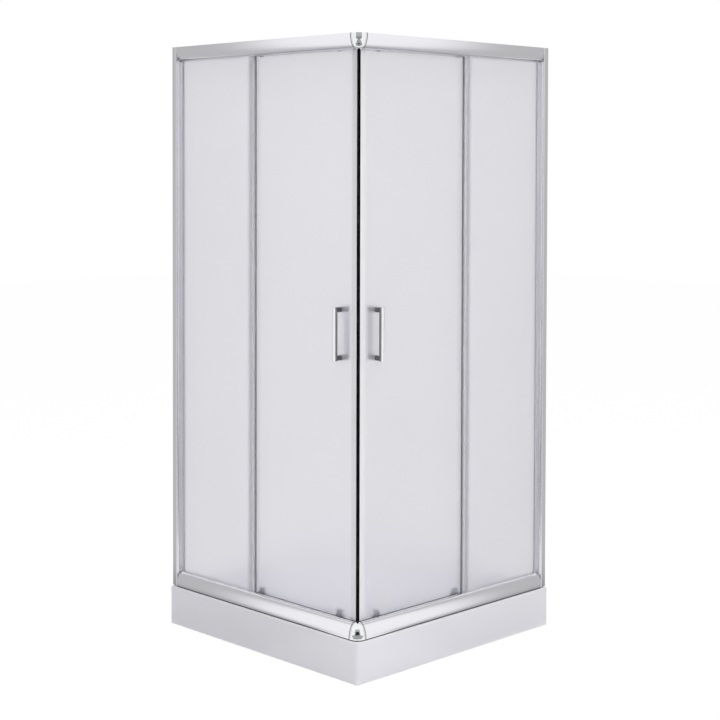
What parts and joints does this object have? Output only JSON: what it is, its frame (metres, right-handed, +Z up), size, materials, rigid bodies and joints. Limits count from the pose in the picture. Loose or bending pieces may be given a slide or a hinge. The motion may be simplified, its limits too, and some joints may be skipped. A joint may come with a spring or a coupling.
{
  "type": "shower enclosure",
  "caption": "Square corner-entry shower enclosure on a low tray, with frosted fixed panes and sliding doors that meet at the front corner.",
  "frame": {"origin": "centre of the bounding box on the floor plane, under the middle of the square tray", "axes": "+Z up along the height; the two walls stand at -X and +Y; the glazed sides face -Y (left in the picture) and +X (right), and the doors meet at the corner +X, -Y"},
  "size_m": [0.9, 0.9, 1.95],
  "materials": {
    "white_acrylic": "gloss acrylic",
    "fibreboard": "raw board",
    "galvanised_steel": "galvanised",
    "zinc_steel": "zinc plated",
    "black_plastic": "moulded",
    "chrome": "polished",
    "chrome_plastic": "plated moulding",
    "polished_alloy": "bright anodised",
    "grey_plastic": "moulded",
    "black_rubber": "extruded",
    "frosted_glass": "satin etched, toughened",
    "clear_pvc": "translucent extrusion",
    "white_nylon": "turned"
  },
  "bodies": {
    "enclosure": {"corner_caps": "chrome_plastic", "fixed_edge_seals": "clear_pvc", "glass_gaskets": "black_rubber", "left_bottom_rail": "polished_alloy", "left_fixed_glass": "frosted_glass", "left_side_profile": "polished_alloy", "left_top_rail": "polished_alloy", "left_wall_profile": "polished_alloy", "rail_end_caps": "grey_plastic", "right_bottom_rail": "polished_alloy", "right_fixed_glass": "frosted_glass", "right_side_profile": "polished_alloy", "right_top_rail": "polished_alloy", "right_wall_profile": "polished_alloy", "sill_seal": "black_rubber", "track_stops": "black_rubber", "tray_base_board": "fibreboard", "tray_foot_pads": "black_plastic", "tray_frame": "galvanised_steel", "tray_leg_studs": "zinc_steel", "tray_shell": "white_acrylic", "waste_cover": "chrome", "waste_flange": "chrome"},
    "left_door": {"left_door_bottom_holders": "grey_plastic", "left_door_glass": "frosted_glass", "left_door_glass_bolts": "zinc_steel", "left_door_inner_handle": "chrome", "left_door_magnet_clip": "clear_pvc", "left_door_magnet_strip": "black_rubber", "left_door_outer_handle": "chrome", "left_door_top_brackets": "zinc_steel", "left_door_trailing_seal": "clear_pvc"},
    "left_top_wheel_lead": {"left_top_wheel_lead": "white_nylon"},
    "left_bottom_wheel_lead": {"left_bottom_wheel_lead": "white_nylon"},
    "left_release_carrier_lead": {"left_release_carrier_lead": "grey_plastic"},
    "left_top_wheel_trail": {"left_top_wheel_trail": "white_nylon"},
    "left_bottom_wheel_trail": {"left_bottom_wheel_trail": "white_nylon"},
    "left_release_carrier_trail": {"left_release_carrier_trail": "grey_plastic"},
    "right_door": {"right_door_bottom_holders": "grey_plastic", "right_door_glass": "frosted_glass", "right_door_glass_bolts": "zinc_steel", "right_door_inner_handle": "chrome", "right_door_magnet_clip": "clear_pvc", "right_door_magnet_strip": "black_rubber", "right_door_outer_handle": "chrome", "right_door_top_brackets": "zinc_steel", "right_door_trailing_seal": "clear_pvc"},
    "right_top_wheel_lead": {"right_top_wheel_lead": "white_nylon"},
    "right_bottom_wheel_lead": {"right_bottom_wheel_lead": "white_nylon"},
    "right_release_carrier_lead": {"right_release_carrier_lead": "grey_plastic"},
    "right_top_wheel_trail": {"right_top_wheel_trail": "white_nylon"},
    "right_bottom_wheel_trail": {"right_bottom_wheel_trail": "white_nylon"},
    "right_release_carrier_trail": {"right_release_carrier_trail": "grey_plastic"}
  },
  "joints": [
    {"name": "left_door_slide", "type": "slide", "parent": "enclosure", "child": "left_door", "axis": [-1, 0, 0], "range_m": [0, 0.325]},
    {"name": "left_release_carrier_lead_press", "type": "slide", "parent": "left_door", "child": "left_release_carrier_lead", "axis": [0, 0, -1], "range_m": [0, 0.004], "stiffness_N_per_m": 1500, "springref_m": -0.002},
    {"name": "left_top_wheel_lead_turn", "type": "hinge", "parent": "left_door", "child": "left_top_wheel_lead", "pos_m": [0.3195, -0.3919, 1.9311], "axis": [0, 1, 0], "continuous": true},
    {"name": "left_bottom_wheel_lead_turn", "type": "hinge", "parent": "left_release_carrier_lead", "child": "left_bottom_wheel_lead", "pos_m": [0.3195, -0.3919, 0.1489], "axis": [0, 1, 0], "continuous": true},
    {"name": "left_release_carrier_trail_press", "type": "slide", "parent": "left_door", "child": "left_release_carrier_trail", "axis": [0, 0, -1], "range_m": [0, 0.004], "stiffness_N_per_m": 1500, "springref_m": -0.002},
    {"name": "left_top_wheel_trail_turn", "type": "hinge", "parent": "left_door", "child": "left_top_wheel_trail", "pos_m": [-0.039, -0.3919, 1.9311], "axis": [0, 1, 0], "continuous": true},
    {"name": "left_bottom_wheel_trail_turn", "type": "hinge", "parent": "left_release_carrier_trail", "child": "left_bottom_wheel_trail", "pos_m": [-0.039, -0.3919, 0.1489], "axis": [0, 1, 0], "continuous": true},
    {"name": "right_door_slide", "type": "slide", "parent": "enclosure", "child": "right_door", "axis": [0, 1, 0], "range_m": [0, 0.325]},
    {"name": "right_release_carrier_lead_press", "type": "slide", "parent": "right_door", "child": "right_release_carrier_lead", "axis": [0, 0, -1], "range_m": [0, 0.004], "stiffness_N_per_m": 1500, "springref_m": -0.002},
    {"name": "right_top_wheel_lead_turn", "type": "hinge", "parent": "right_door", "child": "right_top_wheel_lead", "pos_m": [0.3919, -0.3195, 1.9311], "axis": [1, 0, 0], "continuous": true},
    {"name": "right_bottom_wheel_lead_turn", "type": "hinge", "parent": "right_release_carrier_lead", "child": "right_bottom_wheel_lead", "pos_m": [0.3919, -0.3195, 0.1489], "axis": [1, 0, 0], "continuous": true},
    {"name": "right_release_carrier_trail_press", "type": "slide", "parent": "right_door", "child": "right_release_carrier_trail", "axis": [0, 0, -1], "range_m": [0, 0.004], "stiffness_N_per_m": 1500, "springref_m": -0.002},
    {"name": "right_top_wheel_trail_turn", "type": "hinge", "parent": "right_door", "child": "right_top_wheel_trail", "pos_m": [0.3919, 0.039, 1.9311], "axis": [1, 0, 0], "continuous": true},
    {"name": "right_bottom_wheel_trail_turn", "type": "hinge", "parent": "right_release_carrier_trail", "child": "right_bottom_wheel_trail", "pos_m": [0.3919, 0.039, 0.1489], "axis": [1, 0, 0], "continuous": true}
  ],
  "couplings": [
    {"joint": "left_top_wheel_lead_turn", "follows": "left_door_slide", "rad_per_m": -86.957},
    {"joint": "left_bottom_wheel_lead_turn", "follows": "left_door_slide", "rad_per_m": 86.957},
    {"joint": "left_top_wheel_trail_turn", "follows": "left_door_slide", "rad_per_m": -86.957},
    {"joint": "left_bottom_wheel_trail_turn", "follows": "left_door_slide", "rad_per_m": 86.957},
    {"joint": "right_top_wheel_lead_turn", "follows": "right_door_slide", "rad_per_m": -86.957},
    {"joint": "right_bottom_wheel_lead_turn", "follows": "right_door_slide", "rad_per_m": 86.957},
    {"joint": "right_top_wheel_trail_turn", "follows": "right_door_slide", "rad_per_m": -86.957},
    {"joint": "right_bottom_wheel_trail_turn", "follows": "right_door_slide", "rad_per_m": 86.957}
  ]
}
